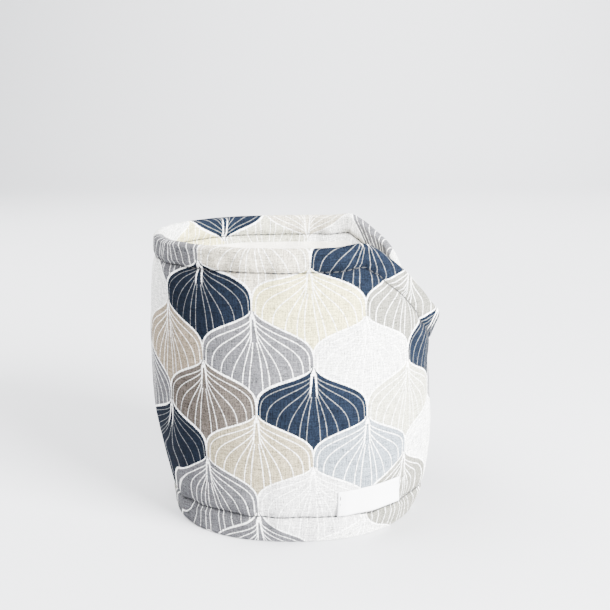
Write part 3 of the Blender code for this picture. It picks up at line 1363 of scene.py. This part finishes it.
@dataclass
class Cover:
    """The band of cloth: printed outside and where it is turned in, lined inside."""

    shape: BandShape
    step: float = 0.8
    body_rows: int = 26
    parts: int = 3
    turned_rim: float = 12.0
    turned_hem: float = 14.0
    turned_end: float = 10.0
    margin: float = 0.1
    end_fold: float = 1.5
    level: float = 60.0

    @cached_property
    def columns(self) -> list[Column]:
        """The band's sections, closer together at both ends."""
        shape = self.shape
        near = [reach / shape.turn_mm for reach in split_evenly(shape.end_thick.knots, self.parts)]
        inside = shape.whole - 2 * near[-1]
        count = round(inside / self.step)
        middle = [near[-1] + inside * k / count for k in range(1, count)]
        far = [shape.whole - reach for reach in reversed(near)]
        return [shape.column(turn) for turn in near + middle + far]

    def heights(self, column: Column) -> list[float]:
        """Gives the height of each row of points in a column.

        Args:
            column: The column.

        Returns:
            The heights, hem first.
        """
        hem = [reach * column.lift for reach in split_evenly(self.shape.hem_thick.knots, self.parts)]
        depths = split_evenly(self.shape.rim_thick.knots, self.parts)
        rim = [column.rim - depth * column.slant for depth in depths]
        low, high = hem[-1], rim[-1]
        body = [low + (high - low) * k / (self.body_rows + 1) for k in range(1, self.body_rows + 1)]
        return hem + body + rim[::-1]

    @cached_property
    def rows(self) -> list[list[float]]:
        """The heights in each column."""
        return [self.heights(column) for column in self.columns]

    @cached_property
    def along(self) -> list[float]:
        """The length of cloth from the front's middle to each column, in mm, growing towards the notch."""
        places = [column.radius.at(self.level) * math.radians(1) for column in self.columns]
        turns = [column.turn for column in self.columns]
        lengths = [0.0]
        for k in range(1, len(turns)):
            lengths.append(lengths[-1] + (turns[k] - turns[k - 1]) * (places[k] + places[k - 1]) / 2)
        start = Curve(tuple(turns), tuple(lengths)).at(self.shape.lap - FRONT)
        return [start - length for length in lengths]

    def lengths_up(self, column: int, points: Points) -> dict[str, list[float]]:
        """Measures the cloth up one column, and on over the rim and under the hem.

        Args:
            column: The column.
            points: The sheet's points by column, row and side.

        Returns:
            The length at each row, in metres: on the outer face, on the inner face over the rim, and on the
            inner face under the hem.
        """
        heights = self.rows[column]
        outer, inner = ([points[column, row, side] for row in range(len(heights))] for side in (1, -1))
        base = min(range(len(heights)), key=lambda row: abs(heights[row] - self.level))
        above = measured(outer[base:], heights[base] * MM)
        below = measured(outer[base::-1], above[0], way=-1)
        out = below[:0:-1] + above
        over_rim = measured([outer[-1], *reversed(inner)], out[-1])
        under_hem = measured([outer[0], *inner], out[0], way=-1)
        return {"out": out, "rim": over_rim[:0:-1], "hem": under_hem[1:]}

    def map_cloth(self, sheet: bmesh.types.BMesh, points: Points) -> None:
        """Lays the cloth's own map on the sheet, so that the print runs on round the rim, hem and ends.

        Args:
            sheet: The sheet.
            points: Its points by column, row and side.
        """
        last_row, last_column = len(self.rows[0]) - 1, len(self.columns) - 1
        up = [self.lengths_up(c, points) for c in range(last_column + 1)]
        layer = sheet.loops.layers.uv.new(CLOTH_MAP)
        column, row, side = layers(sheet)
        for face in sheet.faces:
            middle = sum(vert[row] for vert in face.verts) / len(face.verts)
            inner = "rim" if middle > last_row / 2 else "hem"
            end = {vert[column] for vert in face.verts} in ({0}, {last_column})
            for loop in face.loops:
                c, r, s = loop.vert[column], loop.vert[row], loop.vert[side]
                over = self.end_fold * MM if end and s < 0 else 0.0
                where = "out" if s > 0 or end else inner
                loop[layer].uv = (self.along[c] * MM + over, up[c][where][r])

    def map_seam_distance(self, sheet: bmesh.types.BMesh) -> None:
        """Lays a map on the sheet that gives the distance to the nearest row of stitches, which places the
        print's painted seam shade.

        Args:
            sheet: The sheet.
        """
        layer = sheet.loops.layers.uv.new(CREASE_MAP)
        column, row, _ = layers(sheet)
        for vert in sheet.verts:
            c, r = vert[column], vert[row]
            distance = self.columns[c].to_seam(self.rows[c][r]) * MM
            for loop in vert.link_loops:
                loop[layer].uv = (distance, 0.0)

    def dress(self, sheet: bmesh.types.BMesh) -> None:
        """Gives each face of the sheet its cloth: print outside and where it is turned in, lining elsewhere.

        Args:
            sheet: The sheet.
        """
        column, row, side = layers(sheet)
        for face in sheet.faces:
            inner = all(vert[side] < 0 for vert in face.verts)
            places = [(self.columns[vert[column]], self.rows[vert[column]][vert[row]]) for vert in face.verts]
            turned = any(
                z < self.turned_hem * at.lift + self.margin
                or z > at.rim - self.turned_rim * at.slant - self.margin
                or at.from_end < self.turned_end
                for at, z in places
            )
            face.material_index = 1 if inner and not turned else 0

    def build(self, print_finish: PrintedCotton, lining_finish: LiningCotton) -> bpy.types.Object:
        """Makes the cover and sets it on the frame.

        Args:
            print_finish: The outer cloth.
            lining_finish: The cloth inside.

        Returns:
            The cover.
        """
        points = {
            (c, r, side): column.point(self.rows[c][r], side)
            for c, column in enumerate(self.columns)
            for r in range(len(self.rows[c]))
            for side in (1, -1)
        }
        grid = Grid("cosy_cover", len(self.columns), len(self.rows[0]))
        sheet = grid.build(lambda column, row, side: points[column, row, side])
        self.map_cloth(sheet, points)
        self.map_seam_distance(sheet)
        self.dress(sheet)
        cover = grid.finish(sheet, (print_finish.material(), lining_finish.material()))
        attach(cover, BODY)
        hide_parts("cosy_band")
        return cover


@dataclass
class Stitching:
    """One closed row of stitches round the band's rim, ends and hem, on both faces, and one up the label."""

    shape: BandShape
    pitch: float = 3.0
    length: float = 2.25
    width: float = 0.56
    height: float = 0.46
    proud: float = 0.14
    slants: tuple[float, float] = (0.9, 3.0)
    sides: int = 8
    rings: int = 6
    row_steps: int = 800
    end_steps: int = 120

    def path(self, side: int) -> Run:
        """Gives the row's points and the cloth's outward direction at each.

        Args:
            side: 1 on the outer face, -1 on the inner face.

        Returns:
            The points in metres, about half a mm apart, and the directions.
        """
        shape = self.shape
        first = shape.end_seam / shape.turn_mm
        run = shape.whole - 2 * first
        columns = [shape.column(first + run * k / self.row_steps) for k in range(self.row_steps + 1)]
        start, end = columns[0], columns[-1]
        shares = [k / self.end_steps for k in range(1, self.end_steps)]
        spots = [(column, column.rim_seam) for column in columns]
        spots += [(end, end.rim_seam + (end.hem_seam - end.rim_seam) * share) for share in shares]
        spots += [(column, column.hem_seam) for column in reversed(columns)]
        spots += [(start, start.hem_seam + (start.rim_seam - start.hem_seam) * share) for share in shares]
        return [(column.point(z, side), side * outward(column.azimuth)) for column, z in spots]

    def stitch(self) -> bpy.types.Mesh:
        """Makes one stitch, a long rounded grain of thread along X.

        Returns:
            The stitch.
        """
        made = bmesh.new()
        made.loops.layers.uv.new(THREAD_MAP)
        sizes = Matrix.Diagonal((self.length / 2 * MM, self.width / 2 * MM, self.height / 2 * MM, 1))
        bmesh.ops.create_uvsphere(
            made,
            u_segments=self.sides,
            v_segments=self.rings,
            radius=1,
            matrix=sizes @ Matrix.Rotation(math.pi / 2, 4, "Y"),
            calc_uvs=True,
        )
        mesh = bpy.data.meshes.new("one_stitch")
        made.to_mesh(mesh)
        made.free()
        return mesh

    def sew(self, made: bmesh.types.BMesh, stitch: bpy.types.Mesh, path: Run) -> int:
        """Adds stitches along a path, each second one at more of a slant.

        Args:
            made: The mesh that gets them.
            stitch: One stitch.
            path: The path's points in metres, with the cloth's outward direction at each.

        Returns:
            How many stitches there are.
        """
        count, walked = 0, 0.0
        for (here, out), (there, _) in zip(path, path[1:]):
            ahead = there - here
            walked += ahead.length / MM
            if walked < self.pitch or not ahead.length:
                continue
            walked -= self.pitch
            tilt = math.radians(self.slants[count % 2])
            run = Matrix.Rotation(tilt, 3, out) @ ahead.normalized()
            across = out.cross(run).normalized()
            turned = Matrix((run, across, run.cross(across))).transposed().to_4x4()
            placed = stitch.copy()
            placed.transform(Matrix.Translation(here + out * (self.proud * MM)) @ turned)
            made.from_mesh(placed)
            bpy.data.meshes.remove(placed)
            count += 1
        return count

    def build(self, name: str, paths: Sequence[Run], finish: Thread) -> bpy.types.Object:
        """Makes rows of stitches as one piece.

        Args:
            name: The piece's name.
            paths: The rows' paths.
            finish: The thread.

        Returns:
            The stitches.
        """
        made = bmesh.new()
        stitch = self.stitch()
        count = sum(self.sew(made, stitch, path) for path in paths)
        bpy.data.meshes.remove(stitch)
        made.normal_update()
        piece = to_object(name, made, (finish.material(),))
        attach(piece, BODY)
        LOG.info("%s: %d stitches", name, count)
        return piece


@dataclass
class Label:
    """The bare tape at the hem, sewn down by its left end."""

    shape: BandShape
    left: float = -70.5
    right: float = -41.5
    low_left: float = 12.9
    low_right: float = 13.9
    high: float = 11.1
    thick: float = 0.55
    edge: float = 0.25
    edge_share: float = 0.45
    gap: float = 0.35
    curl: float = 0.5
    wave: float = 0.12
    waves: float = 1.05
    wave_start: float = 1.2
    seat: float = 3.0
    sink: float = 0.35
    sunk: tuple[float, float] = (0.3, 4.0)
    sewn: float = 1.2
    stitch_steps: int = 60
    stitch_lead: int = 4
    columns: int = 60
    rows: int = 20

    @cached_property
    def heights(self) -> range:
        """The heights, a mm apart, at which the band is felt under the tape."""
        return range(int(self.low_right - self.seat - 1), int(self.low_left + self.high + self.seat + 2))

    @cached_property
    def seats(self) -> list[tuple[Column, list[float]]]:
        """The band's sections under the tape and its outer radius at each of the heights."""
        found = []
        for k in range(self.columns):
            turn = self.shape.lap - (self.left + (self.right - self.left) * k / (self.columns - 1))
            column = self.shape.column(turn)
            found.append((column, [column.middle_radius(z) + column.thickness(z) / 2 for z in self.heights]))
        return found

    def length_at(self, column: int) -> float:
        """Gives the tape's length in mm, by the band's radius under one of its columns."""
        return math.radians(self.right - self.left) * self.seats[column][1][0]

    def point(self, column: int, row: int, side: int) -> Vector:
        """Gives a point of the tape.

        Args:
            column: Its column, from the left.
            row: Its row, from below.
            side: 1 on the outer face, -1 on the inner face.

        Returns:
            The point, in metres.
        """
        along, up = column / (self.columns - 1), row / (self.rows - 1)
        section, radii = self.seats[column]
        z = self.low_left + (self.low_right - self.low_left) * along + self.high * up
        near = max(r for at, r in zip(self.heights, radii) if abs(at - z) <= self.seat)
        fullest = max(r for at, r in zip(self.heights, radii) if at <= self.low_left + self.high)
        long = self.length_at(column)
        from_edge = min(along * long, (1 - along) * long, up * self.high, (1 - up) * self.high)
        full = self.edge_share + (1 - self.edge_share) * smoothstep(0, self.edge, from_edge)
        held = 1 - smoothstep(*self.sunk, along * long)
        seat = near + (fullest - near) * along - self.sink * held
        middle = seat + self.gap + self.thick / 2 + self.curl * along**3
        middle += self.wave * math.sin(2 * math.pi * self.waves * up + self.wave_start) * along
        return self.shape.place(section.azimuth, middle + side * self.thick * full / 2, z)

    def stitch_path(self) -> Run:
        """Gives the line of stitches up the tape's left end.

        Returns:
            The points in metres, with the outward direction at each.
        """
        column = max(1, round(self.sewn / self.length_at(0) * self.columns))
        out = outward(self.seats[column][0].azimuth)
        low, high = self.point(column, 0, 1), self.point(column, self.rows - 1, 1)
        steps = range(-self.stitch_lead, self.stitch_steps + 1)
        return [(low.lerp(high, k / self.stitch_steps), out) for k in steps]

    def build(self, finish: LabelTapeWeave) -> bpy.types.Object:
        """Makes the tape and sets it on the frame.

        Args:
            finish: The tape's weave.

        Returns:
            The tape.
        """
        grid = Grid("label", self.columns, self.rows)
        sheet = grid.build(self.point)
        layer = sheet.loops.layers.uv.new(CLOTH_MAP)
        column, row, _ = layers(sheet)
        long = self.length_at(0)
        for face in sheet.faces:
            for loop in face.loops:
                share = (loop.vert[column] / (self.columns - 1), loop.vert[row] / (self.rows - 1))
                loop[layer].uv = (share[0] * long * MM, share[1] * self.high * MM)
        label = grid.finish(sheet, (finish.material(),))
        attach(label, BODY)
        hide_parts("label_tape")
        return label


@dataclass(frozen=True)
class Light:
    """A soft square light. Its places and its size are in metres, and its power is in watts."""

    name: str
    at: Spot
    towards: Spot
    size: float
    power: float

    def place(self) -> None:
        """Adds the light to the scene, facing the point that it is turned towards."""
        lamp = bpy.data.lights.new(self.name, "AREA")
        lamp.shape = "SQUARE"
        lamp.size = self.size
        lamp.energy = self.power
        placed = bpy.data.objects.new(self.name, lamp)
        placed.location = self.at
        facing = Vector(self.towards) - Vector(self.at)
        placed.rotation_euler = facing.to_track_quat("-Z", "Y").to_euler()
        bpy.context.collection.objects.link(placed)


@dataclass
class Stage:
    """The pale floor that sweeps up behind, the soft lights and the camera, in metres."""

    deep: float = 1.6
    wide: float = 3.0
    bend: float = 0.8
    tall: float = 1.6
    strips: int = 60
    sky_colour: Colour = linear(240, 241, 245)
    sky_strength: float = 0.3
    lights: tuple[Light, ...] = (
        Light(name="key", at=(0.88, -0.72, 0.5), towards=(0, 0, 0.06), size=0.6, power=170),
        Light(name="top", at=(-0.5, 0.1, 1.0), towards=(-0.15, 0, 0.02), size=0.8, power=44),
        Light(name="window", at=(-0.9, 0.8, 0.5), towards=(0, 0, 0.06), size=0.6, power=8),
        Light(name="backdrop", at=(0.4, 1.0, 1.5), towards=(0.6, 2.4, 0.4), size=1.6, power=140),
    )
    camera_at: Spot = (0.00516, -0.407, 0.1807)
    pitch: float = 12.49
    lens: float = 54.1
    sensor: float = 36.0
    nearest: float = 0.01

    def floor(self, finish: Plain) -> None:
        """Makes the floor and its sweep.

        Args:
            finish: Its finish.
        """
        made = bmesh.new()
        bmesh.ops.create_grid(made, x_segments=2, y_segments=self.strips, size=1)
        turn = self.bend * math.pi / 2
        run = 2 * self.deep + turn + self.tall
        for vert in made.verts:
            way = (vert.co.y + 1) / 2 * run - self.deep
            if way <= self.deep:
                place = (way, 0.0)
            elif way <= self.deep + turn:
                angle = (way - self.deep) / self.bend
                place = (self.deep + self.bend * math.sin(angle), self.bend * (1 - math.cos(angle)))
            else:
                place = (self.deep + self.bend, self.bend + way - self.deep - turn)
            vert.co = Vector((vert.co.x * self.wide, *place))
        made.normal_update()
        floor = to_object("floor", made, (finish.material(),))

    def sky(self) -> None:
        """Fills the surroundings with an even pale light."""
        world = bpy.data.worlds.new("surroundings")
        world.use_nodes = True
        background = world.node_tree.nodes["Background"]
        background.inputs["Color"].default_value = self.sky_colour
        background.inputs["Strength"].default_value = self.sky_strength
        bpy.context.scene.world = world

    def camera(self) -> None:
        """Places the camera, level across and pitched down a little."""
        lens = bpy.data.cameras.new("camera")
        lens.lens = self.lens
        lens.sensor_width = self.sensor
        lens.clip_start = self.nearest
        placed = bpy.data.objects.new("camera", lens)
        placed.location = self.camera_at
        placed.rotation_euler = (math.radians(90 - self.pitch), 0, 0)
        bpy.context.collection.objects.link(placed)
        bpy.context.scene.camera = placed

    def build(self, finish: Plain) -> None:
        """Makes all of the stage.

        Args:
            finish: The floor's finish.
        """
        self.floor(finish)
        self.sky()
        for light in self.lights:
            light.place()
        self.camera()


def main() -> None:
    """Builds the cosy around the frame, and its stage."""
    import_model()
    logging.basicConfig(level=logging.INFO, format="%(name)s: %(message)s")
    shape = BandShape()

    stage = Stage()
    stage.build(Plain())
    cover = Cover(shape).build(PrintedCotton(), LiningCotton())
    LOG.info("%s: %d faces", cover.name, len(cover.data.polygons))
    tape = Label(shape)
    label = tape.build(LabelTapeWeave())
    LOG.info("%s: %d faces", label.name, len(label.data.polygons))
    sewing = Stitching(shape)
    thread = Thread()
    seams = sewing.build("seam_stitches", (sewing.path(1), sewing.path(-1)), thread)
    held = sewing.build("label_stitches", (tape.stitch_path(),), thread)


if __name__ == "__main__":
    main()
